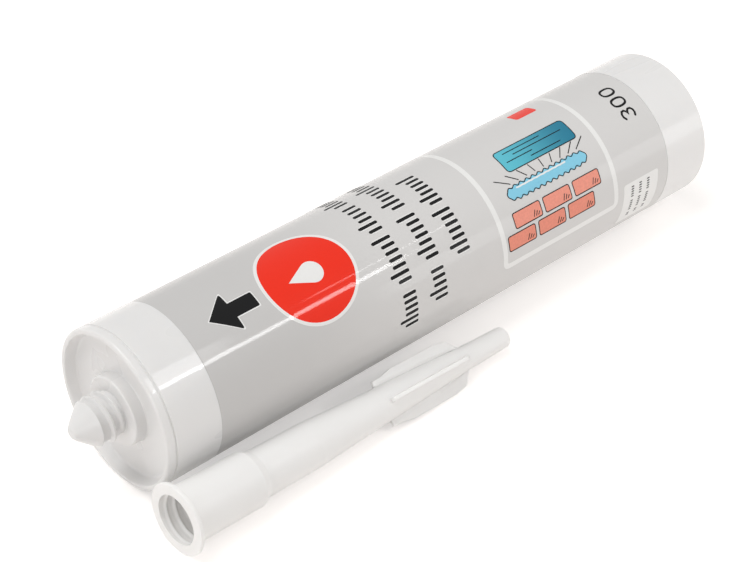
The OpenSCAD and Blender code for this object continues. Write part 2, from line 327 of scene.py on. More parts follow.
@dataclass(frozen=True)
class Finish:
    """A material round one Principled shader: constants, a mottled colour, an uneven gloss and layers of bumps."""

    name: str
    colour: Triple
    roughness: float = 0.35
    coat: float = 0.0
    mottle: float = 0.0
    gloss_span: Pair = (0.0, 0.0)
    tinting: Grain = Grain(1, 900, 3)
    wear: Grain = Grain(1, 60, 2)
    bumps: tuple[Grain, ...] = ()
    constants: Constants = ()

    def material(self) -> bpy.types.Material:
        """Builds the material.

        Returns:
            The material.
        """
        material = bpy.data.materials.new(self.name)
        material.use_nodes = True
        graph = Graph(material.node_tree)
        shader = graph.tree.nodes["Principled BSDF"]
        constants = {"Base Color": (*self.colour, 1), "Roughness": self.roughness, "Coat Weight": self.coat}
        graph.feed(shader, constants | dict(self.constants))
        graph.feed(shader, self.patterns(graph))
        return material

    def patterns(self, graph: Graph) -> dict[str, Socket]:
        """What varies over the surface.

        Args:
            graph: Graph of the material.

        Returns:
            For an input of the shader, the socket that drives it.
        """
        inputs = {"Base Color": self.tones(graph), "Normal": graph.relief(self.bumps)}
        if any(self.gloss_span):
            low, high = (self.roughness + step for step in self.gloss_span)
            inputs["Roughness"] = graph.ranged(graph.noise(self.wear), MIDDLE, low, high, "SMOOTHSTEP")
        return inputs

    def tones(self, graph: Graph) -> Socket:
        """The finish's colour, a little darker and a little lighter in places.

        Args:
            graph: Graph of the material.

        Returns:
            Socket with the colour.
        """
        darker = tuple(c * (1 - self.mottle) for c in self.colour)
        lighter = tuple(min(c * (1 + self.mottle), 1) for c in self.colour)
        return graph.tint(graph.noise(self.tinting), darker, lighter)


@dataclass(frozen=True)
class MouldedPlastic(Finish):
    """Injection-moulded polyethylene: a waxy body, a faint orange peel and long flow marks.

    The outside next to the label is as glossy as its film: the coat grows to the film's over the last part of the way
    out to the film's radius. The distance from the tube's axis is the length of (y - centre y, z - centre z)."""

    FLOW = Grain(0.25, 60, 2, 0.06, 0.1 * MM)
    coat: float = 0.04
    mottle: float = 0.008
    gloss_span: Pair = (-0.05, 0.06)
    tinting: Grain = FLOW
    wear: Grain = FLOW
    bumps: tuple[Grain, ...] = (Grain(1, 900, 3, 0.10, 0.03 * MM), FLOW)
    constants: Constants = (
        ("Subsurface Weight", 0.12),
        ("Subsurface Radius", (0.004, 0.0036, 0.0032)),
        ("Subsurface Scale", 1.0),
        ("Specular IOR Level", 0.3),
        ("Coat Roughness", 0.06),
    )
    film_coat: float = 0.5
    film_radius: float = 0.0
    film_edge: float = 0.3 * MM
    centre: Pair = (0.0, 0.0)

    def patterns(self, graph: Graph) -> dict[str, Socket]:
        """What varies over the surface, with the glossy outside where there is a film.

        Args:
            graph: Graph of the material.

        Returns:
            For an input of the shader, the socket that drives it.
        """
        inputs = super().patterns(graph)
        if self.film_radius > 0:
            shift = (0, -self.centre[0], -self.centre[1])
            across = graph.add("Mapping", {"Vector": graph.place(), "Location": shift, "Scale": (0, 1, 1)}, "Vector")
            radius = graph.add("VectorMath", {0: across}, "Value", operation="LENGTH")
            span = (self.film_radius - self.film_edge, self.film_radius)
            inputs["Coat Weight"] = graph.ranged(radius, span, self.coat, self.film_coat)
        return inputs


@dataclass(frozen=True)
class PrintedFilm(Finish):
    """Clear-coated label film and the ink under its coat. Film and inks share one gentle waviness, so that a
    highlight runs on over both. A fade is a second colour that the first runs to along X."""

    CREEP = Grain(0.5, 26, 2, 0.35, 0.2 * MM)
    coat: float = 0.45
    mottle: float = 0.012
    gloss_span: Pair = (-0.04, 0.05)
    tinting: Grain = Grain(1, 1500, 2)
    wear: Grain = CREEP
    bumps: tuple[Grain, ...] = (CREEP, Grain(0.12, 110, 1, 0.35, 0.04 * MM))
    constants: Constants = (
        ("Specular IOR Level", 0.04),
        ("Coat Roughness", 0.07),
        ("Coat IOR", 1.5),
    )
    fade: Triple | None = None
    fade_span: Pair = (0.0, 1.0)

    def patterns(self, graph: Graph) -> dict[str, Socket]:
        """What varies over the surface, with the bumps in the coat as well."""
        inputs = super().patterns(graph)
        return inputs | {"Coat Normal": inputs["Normal"]}

    def tones(self, graph: Graph) -> Socket:
        """The mottled colour, or the one that fades.

        Args:
            graph: Graph of the material.

        Returns:
            Socket with the colour.
        """
        if self.fade is None:
            return super().tones(graph)
        along = graph.add("SeparateXYZ", {"Vector": graph.place()}, "X")
        return graph.tint(graph.ranged(along, self.fade_span, 0, 1), self.colour, self.fade)


@dataclass(frozen=True)
class TranslucentPlastic(Finish):
    """Thin, milky polyethylene that lets light through."""

    FLOW = Grain(0.2, 90, 2, 0.15, 0.3 * MM)
    coat: float = 0.15
    mottle: float = 0.02
    gloss_span: Pair = (-0.06, 0.06)
    tinting: Grain = FLOW
    wear: Grain = FLOW
    bumps: tuple[Grain, ...] = (FLOW, Grain(1, 700, 3, 0.12, 0.05 * MM))
    constants: Constants = (
        ("Transmission Weight", 0.10),
        ("IOR", 1.2),
        ("Subsurface Weight", 0.3),
        ("Subsurface Radius", (0.002, 0.00195, 0.0019)),
        ("Subsurface Scale", 1.0),
        ("Coat Roughness", 0.25),
    )


@dataclass(frozen=True)
class Paste(Finish):
    """Stiff adhesive paste, smooth with fine drag marks."""

    DRAG = Grain(0.3, 400, 4, 0.3, 0.2 * MM)
    mottle: float = 0.03
    tinting: Grain = DRAG
    bumps: tuple[Grain, ...] = (DRAG,)


class Ink(Enum):
    """The inks of the print, each with its finish under the film's clear coat. The teal darkens towards the rear."""

    RED = PrintedFilm("ink_red", (0.86, 0.022, 0.003), 0.4)
    WHITE = PrintedFilm("ink_white", (0.82, 0.82, 0.81), 0.4)
    DARK = PrintedFilm("ink_dark", (0.004, 0.004, 0.0045), 0.4, coat=0.28)
    TEAL = PrintedFilm("ink_teal", (0.11, 0.52, 0.64), 0.4, fade=(0.015, 0.19, 0.30), fade_span=(0.025, 0.078))
    SALMON = PrintedFilm("ink_salmon", (0.80, 0.27, 0.19), 0.4, mottle=0.06)
    BLUE = PrintedFilm("ink_blue", (0.24, 0.60, 0.78), 0.4)

    @property
    def node(self) -> str:
        """Name of the ink's CAD node."""
        return self.value.name.replace("ink", "print")


@dataclass
class Mould:
    """Collects grids of points and casts them as one mesh object."""

    name: str
    points: list[np.ndarray] = field(default_factory=list)
    faces: list[np.ndarray] = field(default_factory=list)
    count: int = 0

    def add(self, grid: np.ndarray, wrap_rows: bool = False) -> "Mould":
        """Adds a surface given as a grid of points, each row of which is a closed ring.

        Face (i, j) joins the points (i, j), (i+1, j), (i+1, j+1) and (i, j+1), counted round where the grid closes.

        Args:
            grid: Array of (rows, columns, 3) points.
            wrap_rows: True if the last row joins the first.

        Returns:
            The mould itself.
        """
        rows, columns = grid.shape[:2]
        i = np.arange(rows if wrap_rows else rows - 1)[:, None]
        j = np.arange(columns)[None, :]
        i_next, j_next = (i + 1) % rows, (j + 1) % columns
        corners = [i * columns + j, i_next * columns + j, i_next * columns + j_next, i * columns + j_next]
        faces = np.stack([np.broadcast_to(c, (i.size, j.size)) for c in corners], axis=-1).reshape(-1, 4)
        self.points.append(grid.reshape(-1, 3))
        self.faces.append(faces + self.count)
        self.count += rows * columns
        return self

    def turn(self, axis: Line, outline: np.ndarray, segments: int, ring: bool = False) -> "Mould":
        """Adds the surface of an outline of (n, 2) places and radii turned about an axis, closed where it is a ring."""
        return self.add(axis.place(outline[:, :1], outline[:, 1:], even_turn(segments)[None, :]), wrap_rows=ring)

    def cast(self, body: str, node: str, finish: Finish, slot: str) -> bpy.types.Object:
        """Makes the object, closes its seams and poles and puts it on its body.

        Args:
            body: CAD body that it moves with.
            node: CAD node that it stands for.
            finish: Its finish.
            slot: Material slot of the record that the finish belongs to. It is not used.

        Returns:
            The new object.
        """
        mesh = bpy.data.meshes.new(self.name)
        mesh.from_pydata(np.concatenate(self.points).tolist(), [], np.concatenate(self.faces).tolist())
        work = bmesh.new()
        work.from_mesh(mesh)
        bmesh.ops.remove_doubles(work, verts=work.verts, dist=SAME_POINT)
        bmesh.ops.dissolve_degenerate(work, edges=work.edges, dist=SAME_LENGTH)
        bmesh.ops.recalc_face_normals(work, faces=work.faces)
        work.to_mesh(mesh)
        work.free()
        mesh.shade_smooth()
        mesh.set_sharp_from_angle(angle=SHARP_ANGLE)
        piece = placed(self.name, mesh)
        mesh.materials.append(finish.material())
        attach(piece, body)
        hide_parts(node)
        log.info("%s: %d faces on %s", self.name, len(mesh.polygons), body)
        return piece


@dataclass
class Tube:
    """The white moulding: barrel, dished head, collar, threaded neck and closed cone tip.

    Places along the axis count from the front rim, as in the solids."""

    length: float = 219 * MM
    wall: float = 1.3 * MM
    mouth_length: float = 15 * MM
    mouth_step: float = 0.3 * MM
    dish_depth: float = 3.5 * MM
    head_wall: float = 2 * MM
    rim_width: float = 1.7 * MM
    dish_draft: float = 1 * MM
    groove_at: float = 2.8 * MM
    groove_width: float = 0.8 * MM
    groove_depth: float = 0.4 * MM
    collar_radius: float = 10.65 * MM
    collar_rise: float = 0.3 * MM
    thread_radius: float = 7.3 * MM
    thread_depth: float = 1 * MM
    thread_pitch: float = 3 * MM
    thread_angle: float = 178.0
    thread_rows: int = 90
    neck_length: float = 7.7 * MM
    neck_wall: float = 1.5 * MM
    cone_length: float = 4.5 * MM
    cone_tip: float = 3.2 * MM
    tip_round: float = 1.5 * MM
    tip_wall: float = 1.4 * MM
    seat_depth: float = 0.4 * MM
    seat_gap: float = 0.05 * MM
    segments: int = 240
    colour: Triple = (0.78, 0.775, 0.77)
    roughness: float = 0.30

    def __post_init__(self) -> None:
        """Takes the axis and radius from the solids."""
        low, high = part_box("tube")
        self.radius = (high.z - low.z) / 2
        self.axis = Line(
            np.array([high.x - self.length, (low.y + high.y) / 2, (low.z + high.z) / 2]),
            np.array([1.0, 0.0, 0.0]),
            np.array([0.0, 0.0, 1.0]),
            np.array([0.0, -1.0, 0.0]),
        )
        self.bore = self.radius - self.wall
        self.root = self.thread_radius - self.thread_depth
        self.head_back = self.dish_depth + self.head_wall
        self.neck_front = -self.collar_rise - self.neck_length
        label_low, label_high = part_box("label")
        self.label_start = label_low.x - self.axis.start[0]
        self.label_end = label_high.x - self.axis.start[0]

    def outline(self) -> np.ndarray:
        """Outline of the section, from the tip over the outside to the rear and back along the inside.

        Returns:
            Array of (n, 2): place along the axis and radius.
        """
        r, root, seat = self.radius, self.root, self.radius - self.seat_depth
        cone_front = self.neck_front - self.cone_length
        apex = cone_front - self.tip_round
        half, notch = self.groove_width / 2, self.groove_width / 5
        collar, dish = self.collar_radius, self.radius - self.rim_width
        mouth, mouth_front = self.bore + self.mouth_step, self.length - self.mouth_length
        neck_bore = root - self.neck_wall
        corners = [
            (apex, 0, 0), (apex, self.cone_tip * 0.55, 1.2), (cone_front, self.cone_tip, 1.2),
            (self.neck_front, self.thread_radius - 0.3 * self.thread_depth, 0.3), (self.neck_front, root, 0.15),
            (-self.collar_rise, root, 0.3), (-self.collar_rise, collar, 0.6), (self.dish_depth, collar, 0.5),
            (self.dish_depth, dish - self.dish_draft, 0.9), (0, dish, 0.35), (0, r, 1.3),
            (self.groove_at - half, r, 0.15), (self.groove_at - notch, r - self.groove_depth, 0.12),
            (self.groove_at + notch, r - self.groove_depth, 0.12), (self.groove_at + half, r, 0.15),
            (self.label_start - self.seat_gap, r, 0.08), (self.label_start - self.seat_gap, seat, 0),
            (self.label_end + self.seat_gap, seat, 0), (self.label_end + self.seat_gap, r, 0.08),
            (self.length, r, 0.3), (self.length, mouth, 0.25), (mouth_front, mouth, 0.1),
            (mouth_front - self.mouth_step, self.bore, 0.1), (self.head_back, self.bore, 1.5),
            (self.head_back, neck_bore, 0.4), (self.neck_front, neck_bore, 0.5),
            (cone_front, self.cone_tip - self.tip_wall, 0.5), (apex + self.tip_wall, 0, 0),
        ]
        return held(rounded(corners))

    def thread(self, place: np.ndarray, angle: np.ndarray) -> np.ndarray:
        """Height of the helical ridge over the neck's root.

        Turn k of the ridge crosses an angle at first + pitch * s, where s = angle / 360 + k counts turns. The height
        falls from the crest to 0 over the flank on each side, and runs out over a fifth of a turn at both ends.

        Args:
            place: Places along the axis.
            angle: Angles round the axis in degrees.

        Returns:
            Heights, 0 off the ridge.
        """
        foot, crest, margin = 0.30 * self.thread_pitch, 0.10 * self.thread_pitch, 0.37 * self.thread_pitch
        first = self.neck_front + margin + 0.1 * MM
        turns = (self.neck_length - 2 * margin) / self.thread_pitch
        off = np.clip((-self.collar_rise - 0.35 * MM - place) / (0.5 * MM), 0, 1)
        height = np.zeros(np.broadcast(place, angle).shape)
        for k in range(-1, 4):
            s = (angle + self.thread_angle) / 360 + k
            away = np.abs(place - first - self.thread_pitch * s)
            ridge = np.clip((foot - away) / (foot - crest), 0, 1)
            ends = np.clip(np.minimum(s, turns - s) / 0.2, 0, 1)
            height = np.maximum(height, self.thread_depth * ridge**1.2 * ends * off)
        return height

    def build(self) -> None:
        """Builds the barrel with head and neck as one closed surface turned about the axis. The stretch along the
        neck's root gets many more points, to carry the thread."""
        outline = self.outline()
        on_root = np.isclose(outline[:, 1], self.root, atol=1e-6)
        first, last = np.flatnonzero(on_root & (outline[:, 0] > self.neck_front - 1e-9) & (outline[:, 0] < 0))[[0, -1]]
        fine = np.linspace(outline[first], outline[last], self.thread_rows)[1:-1]
        outline = np.concatenate([outline[: first + 1], fine, outline[last:]])
        place, radius, angle = outline[:, :1], outline[:, 1:], even_turn(self.segments)[None, :]
        on_neck = (np.abs(radius - self.root) < 1e-6) & (place < 0)
        radius = radius + np.where(on_neck, self.thread(place, angle), 0)
        mould = Mould("tube_moulding").add(self.axis.place(place, radius, angle))
        edge, centre = self.radius - self.seat_gap, (float(self.axis.start[1]), float(self.axis.start[2]))
        finish = MouldedPlastic("tube_plastic", self.colour, self.roughness, film_radius=edge, centre=centre)
        mould.cast("cartridge", "tube", finish, "tube")


@dataclass(frozen=True)
class Picture:
    """The plain picture in the frame. Lengths are in millimetres, and turns are angles round the tube."""

    line: float = 0.3
    block: Triple = (11.5, 4.8, 0.8)
    block_step: float = 13
    course_shift: float = 4
    course_turns: Pair = (62, 76)
    hatch_start: Pair = (2.2, -1.7)
    hatch_step: float = 0.9
    hatch_end: float = 0.3
    hatch_fall: float = 0.5
    bead_turn: float = 44.0
    bead_reach: float = 17.2
    bead_half: float = 2.0
    bead_wave: float = 0.35
    bead_pitch: float = 2.6
    shine_rise: float = 0.7
    shine_follow: float = 0.2
    shine_width: float = 0.5
    board: Triple = (30, 8, 1.5)
    board_shift: float = 3
    board_turn: float = 20.0
    board_lines: tuple[Pair, ...] = ((-12, 4), (-9, 12), (-13, -2), (-4, 9))
    board_top: float = 2.4
    board_step: float = 1.6
    ray_count: int = 9
    ray_start: Pair = (-14, 2.9)
    ray_end: float = 5.9
    ray_step: float = 3.6
    ray_lean: float = 1.2
    patch: Triple = (9, 5, 1)
    patch_share: float = 0.80
    patch_turn: float = -16.0


@dataclass
class Label:
    """The printed film round the tube and everything that is printed on it. Shares are places along the label's
    length, and angles are places round the tube."""

    tube: Tube
    ink_rise: float = 0.03 * MM
    ink_sink: float = 0.03 * MM
    seam_angle: float = -140.0
    seam_width: float = 9.0
    seam_rise: float = 0.08 * MM
    segments: int = 320
    badge_share: float = 0.235
    badge_angle: float = 26.0
    badge_radius: float = 14.5 * MM
    badge_line: float = 1 * MM
    badge_points: int = 120
    drop_size: float = 7 * MM
    arrow_share: float = 0.09
    arrow_angle: float = 24.0
    arrow_length: float = 16 * MM
    halo: float = 0.35 * MM
    mark_height: float = 5 * MM
    mark_extra: float = 0.42
    stroke_width: float = 1.05 * MM
    stroke_pitch: float = 2.15 * MM
    rows: tuple[tuple[float, tuple[Pair, ...]], ...] = (
        (0.385, ((70, 96), (28, 62), (-8, 22), (-52, -14))),
        (0.450, ((64, 87), (22, 56), (-46, 14))),
        (0.512, ((30, 63), (-8, 24))),
    )
    frame_share: float = 0.731
    frame_length: float = 51 * MM
    frame_line: float = 1.8 * MM
    frame_angles: Pair = (-62.0, 95.0)
    picture: Picture = Picture()
    figure_share: float = 0.955
    figure_height: float = 6 * MM
    figure_line: float = 0.8 * MM
    figure_angles: Triple = (32.0, 20.0, 8.0)
    panel_share: float = 0.93
    panel_length: float = 16 * MM
    panel_angles: Pair = (80.0, 118.0)
    panel_rows: Triple = (0.905, 0.925, 0.945)
    panel_pitch: float = 2.1
    panel_mark: float = 1.2 * MM
    panel_line: float = 0.4 * MM
    # Painted light: the film's fade paints it lighter from near its front towards the middle of the tube, standing in
    # for light that grows brighter further back along the tube.
    film: PrintedFilm = PrintedFilm(
        "label_film", (0.575, 0.568, 0.562), roughness=0.35, fade=(0.66, 0.652, 0.645), fade_span=(-0.080, 0.010)
    )

    def __post_init__(self) -> None:
        """Takes the label's place and radii from the solids."""
        low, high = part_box("label")
        self.outside = (high.z - low.z) / 2
        self.start = low.x - self.tube.axis.start[0]
        self.length = high.x - low.x
        self.inks = {ink: Mould(ink.value.name) for ink in Ink}

    def at(self, share: float) -> float:
        """Place along the tube of a share of the label's length, 0 at the front."""
        return self.start + share * self.length

    def sector(self, share: float, angles: Pair) -> tuple[Pair, float]:
        """Place and angle of the middle of a stretch round the tube, and its length."""
        low, high = angles
        return (self.at(share), (low + high) / 2), math.radians(high - low) * self.outside

    def wrap(self, flat: np.ndarray, middle: Pair, height: float) -> np.ndarray:
        """Points of a flat drawing wrapped round the tube: (x, y) at middle place + x, middle angle - y / radius."""
        angle = middle[1] - np.degrees(flat[..., 1] / self.outside)
        return self.tube.axis.place(flat[..., 0] + middle[0], np.full(angle.shape, self.outside + height), angle)

    def fill(self, ink: Ink, outline: np.ndarray, middle: Pair, rings: int = 6, layer: int = 1) -> None:
        """Prints a filled shape, which every line from its middle leaves only once.

        Ring k lies at share k / rings of the way from the middle to the outline. The rings below go out from the middle
        and those above come back, so the shape closes.

        Args:
            ink: Colour of the shape.
            outline: Array of (n, 2) points round the shape's middle.
            middle: Place and angle of the shape's middle.
            rings: Number of rings.
            layer: Layer of ink that it lies in.
        """
        share = np.linspace(0, 1, rings + 1)[:, None, None]
        flat = share * outline[None]
        below = self.wrap(flat, middle, -self.ink_sink)
        above = self.wrap(flat[::-1], middle, self.ink_rise * layer)
        self.inks[ink].add(np.concatenate([below, above]))

    def ribbon(
        self, ink: Ink, path: np.ndarray, width: float, middle: Pair, closed: bool = False, layer: int = 1
    ) -> None:
        """Prints a line of constant width with round ends.

        The line's sides lie half a width to each side of the path, across its direction. Within half a width of an open
        end the half width is sqrt(h^2 - (h - d)^2), where d is the distance to the end.

        Args:
            ink: Colour of the line.
            path: Array of (n, 2) points.
            width: Width of the line.
            middle: Place and angle that the path is counted from.
            closed: True if the path's end joins its start.
            layer: Layer of ink that it lies in.
        """
        ahead = np.roll(path, -1, 0) if closed else np.concatenate([path[1:], path[-1:]])
        behind = np.roll(path, 1, 0) if closed else np.concatenate([path[:1], path[:-1]])
        along = ahead - behind
        along = along / np.linalg.norm(along, axis=1, keepdims=True)
        across = np.stack([-along[:, 1], along[:, 0]], axis=1)
        half = np.full(len(path), width / 2)
        if not closed:
            run = lengths(path)
            near = np.minimum(np.minimum(run, run[-1] - run), width / 2)
            half = np.sqrt(np.maximum((width / 2) ** 2 - (width / 2 - near) ** 2, 1e-16))
        left, right = path + half[:, None] * across, path - half[:, None] * across
        top = self.ink_rise * layer
        sides = [(left, -self.ink_sink), (right, -self.ink_sink), (right, top), (left, top)]
        grid = np.stack([self.wrap(points, middle, height) for points, height in sides], axis=1)
        self.inks[ink].add(grid, wrap_rows=closed)

    def stroke(self, ink: Ink, start: Pair, end: Pair, width: float, middle: Pair, layer: int = 2) -> None:
        """Prints one straight stroke with round ends, between points that are counted from the middle."""
        self.ribbon(ink, ended(np.array([start, end]), width), width, middle, layer=layer)

    def build_film(self) -> None:
        """Builds the film as a closed sleeve, with a lap seam on the side away from the print.

        The section is a box from the seat to the outside. At the seam the outside is raised by a smooth step."""
        seat = self.tube.radius - self.tube.seat_depth
        start, end = self.start, self.start + self.length
        corners = [(start, seat, 0), (start, self.outside, 0.05), (end, self.outside, 0.05), (end, seat, 0)]
        outline = held(rounded(corners, 3))
        angle = even_turn(self.segments) - 180
        away = np.abs(angle - self.seam_angle)
        lap = self.seam_rise * np.clip((self.seam_width / 2 - away) / 0.8, 0, 1)
        top = np.isclose(outline[:, 1:], self.outside, atol=0.06 * MM)
        radius = outline[:, 1:] + np.where(top, lap[None, :], 0)
        mould = Mould("label_film").add(self.tube.axis.place(outline[:, :1], radius, angle[None, :]), wrap_rows=True)
        mould.cast("cartridge", "label", self.film, "label")

    def print_badge(self) -> None:
        """Prints the round red badge with its white line and a drop.

        The drop is a disc of radius r about (0.4 r, 0) with a point at (-2 r, 0)."""
        middle = (self.at(self.badge_share), self.badge_angle)
        self.fill(Ink.RED, circle(self.badge_radius, self.badge_points), middle, rings=14)
        ring = circle(self.badge_radius + self.badge_line / 2, self.badge_points)
        self.ribbon(Ink.WHITE, ring, self.badge_line, middle, closed=True)
        r = self.drop_size / 2
        turn = np.radians(np.linspace(-115, 115, 40))
        disc = np.stack([0.4 * r + r * np.cos(turn), r * np.sin(turn)], axis=1)
        share = np.linspace(0, 1, 14)[1:-1, None]
        tip = np.array([[-2 * r, 0]])
        down = (1 - share) * disc[-1] + share * tip
        self.fill(Ink.WHITE, np.concatenate([disc, down, tip, down[::-1] * [1, -1]]), middle, rings=5, layer=2)

    def print_arrow(self) -> None:
        """Prints the dark arrow that points to the front, on a white one that is larger by the halo all round. Its
        slanting sides move out by more along the arrow, so that the halo is as wide there."""
        middle = (self.at(self.arrow_share), self.arrow_angle)
        half, corner = self.arrow_length / 2, 0.5
        for ink, grow, layer in ((Ink.WHITE, self.halo, 1), (Ink.DARK, 0.0, 2)):
            barb, stem = self.arrow_length * 0.4 + 1.6 * grow, self.arrow_length * 0.15 + grow
            tip, back, rear = -half - 1.4 * grow, grow, half + grow
            side = [(back, barb, corner), (back, stem, 0), (rear, stem, corner)]
            mirror = [(x, -y, radius) for x, y, radius in reversed(side)]
            self.fill(ink, loop([(tip, 0, 0), *side, *mirror, (tip, 0, 0)], 5, 90), middle, layer=layer)

    def print_rows(self) -> None:
        """Prints the rows of plain upright strokes that stand where the photographed label carries words.

        Each span of a row is filled with strokes at an even pitch. One in five is taller, towards the front, and each
        lies on a slightly wider white stroke."""
        end = self.mark_height / 2
        for share, spans in self.rows:
            for span in spans:
                middle, reach = self.sector(share, span)
                room = reach - self.stroke_width
                count = max(2, int(round(room / self.stroke_pitch)) + 1)
                for k, across in enumerate(np.linspace(-1, 1, count) * room / 2):
                    start = -end - (self.mark_extra * self.mark_height if k % 5 == 1 else 0)
                    for ink, grow, layer in ((Ink.WHITE, self.halo, 1), (Ink.DARK, 0.0, 2)):
                        width = self.stroke_width + 2 * grow
                        self.stroke(ink, (start, across), (end, across), width, middle, layer)

    def print_frame(self) -> None:
        """Prints the white line of the framed panel, with round corners."""
        middle, height = self.sector(self.frame_share, self.frame_angles)
        outline = box_outline(self.frame_length - self.frame_line, height - self.frame_line, 2, 160)
        self.ribbon(Ink.WHITE, outline, self.frame_line, middle, closed=True)

    def lined(self, ink: Ink, outline: np.ndarray, middle: Pair, rings: int = 6) -> None:
        """Prints a filled shape of the picture with a thin dark line round it."""
        self.fill(ink, outline, middle, rings)
        self.ribbon(Ink.DARK, outline, self.picture.line * MM, middle, closed=True, layer=2)

    def print_blocks(self) -> None:
        """Prints two courses of three blocks, with hatch strokes in one corner of each."""
        p = self.picture
        width, height, corner = p.block
        for course, turn in enumerate(p.course_turns):
            for k in (-1, 0, 1):
                middle = (self.at(self.frame_share) + (p.block_step * k - p.course_shift * course) * MM, turn)
                self.lined(Ink.SALMON, box_outline(width * MM, height * MM, corner), middle)
                for step in range(3):
                    x, y = p.hatch_start[0] + p.hatch_step * step, p.hatch_end - p.hatch_fall * step
                    start, end = (x * MM, p.hatch_start[1] * MM), ((x + p.hatch_step) * MM, y * MM)
                    self.stroke(Ink.DARK, start, end, p.line * MM, middle)

    def print_bead(self) -> None:
        """Prints the bead of paste with a shine line.

        The bead's half width is half + wave cos(2 pi x / pitch), times sqrt(1 - (x / reach)^12) to round its ends."""
        p = self.picture
        middle = (self.at(self.frame_share), p.bead_turn)
        x = np.linspace(-p.bead_reach, p.bead_reach, 240) * MM
        wave = (p.bead_half + p.bead_wave * np.cos(x / (p.bead_pitch * MM) * 2 * math.pi)) * MM
        end = np.sqrt(np.clip(1 - (np.abs(x) / (p.bead_reach * MM)) ** 12, 0, 1))
        bead = np.concatenate([np.stack([x, wave * end], 1), np.stack([x, -wave * end], 1)[::-1][1:-1]])
        self.lined(Ink.BLUE, bead, middle, rings=4)
        shine = np.stack([x, p.shine_rise * MM + p.shine_follow * wave], 1)[30:-60]
        width = p.shine_width * MM
        self.ribbon(Ink.WHITE, ended(shine, width), width, middle, layer=2)

    def print_board(self) -> None:
        """Prints the board with its long strokes, rays that lean out between it and the bead, and the small red patch
        at the edge of the frame."""
        p = self.picture
        middle = (self.at(self.frame_share) + p.board_shift * MM, p.board_turn)
        width, height, corner = p.board
        self.lined(Ink.TEAL, box_outline(width * MM, height * MM, corner, 80), middle)
        for row, (start, end) in enumerate(p.board_lines):
            y = (p.board_top - p.board_step * row) * MM
            self.stroke(Ink.DARK, (start * MM, y), (end * MM, y), p.line * MM, middle)
        middle = (self.at(self.frame_share), p.bead_turn)
        for k in range(p.ray_count):
            start = p.ray_start[0] + p.ray_step * k
            end = start + (k - p.ray_count // 2) * p.ray_lean
            ray = (start * MM, p.ray_start[1] * MM), (end * MM, p.ray_end * MM)
            self.stroke(Ink.DARK, *ray, p.line * MM, middle)
        width, height, corner = p.patch
        self.fill(Ink.RED, box_outline(width * MM, height * MM, corner), (self.at(p.patch_share), p.patch_turn))

    def print_figures(self) -> None:
        """Prints the plain figures 300 near the rear. They read round the tube, with their feet to the rear.

        The nought is (-h sin t, 0.9 w cos t) with both taken to the power 0.8, and the three is two arcs."""
        line = self.figure_line
        w, h = 0.30 * self.figure_height, self.figure_height / 2 - line / 2
        rise, reach = (np.sign(c) * np.abs(c) ** 0.8 for c in circle(1, 64).T[::-1])
        nought = np.stack([-h * rise, w * reach * 0.9], axis=1)
        turn = np.radians(np.linspace(160, -95, 30))
        upper = np.stack([h / 2 + h / 2 * np.sin(turn), 0.92 * w * np.cos(turn)], axis=1)
        three = np.concatenate([upper, upper[::-1][1:] * [-1, 1]]) * [-1, 1]
        place = self.at(self.figure_share)
        first, *others = self.figure_angles
        self.ribbon(Ink.DARK, ended(three, line), line, (place, first))
        for angle in others:
            self.ribbon(Ink.DARK, nought, line, (place, angle), closed=True)

    def print_panel(self) -> None:
        """Prints the small white panel near the rear with three rows of fine dark strokes, five to a group."""
        low, high = self.panel_angles
        middle, height = self.sector(self.panel_share, self.panel_angles)
        self.fill(Ink.WHITE, box_outline(self.panel_length, height, 1, 80), middle, rings=8)
        reach = self.panel_mark / 2
        for share in self.panel_rows:
            for k, angle in enumerate(np.arange(low + 4, high - 6, self.panel_pitch)):
                if k % 6 != 5:
                    middle = (self.at(share) + reach, angle)
                    self.stroke(Ink.DARK, (-reach, 0), (reach, 0), self.panel_line, middle)

    def build(self) -> None:
        """Builds the film and all its print."""
        self.build_film()
        self.print_badge()
        self.print_arrow()
        self.print_rows()
        self.print_frame()
        self.print_blocks()
        self.print_bead()
        self.print_board()
        self.print_figures()
        self.print_panel()
        for ink, mould in self.inks.items():
            mould.cast("cartridge", ink.node, ink.value, ink.value.name)


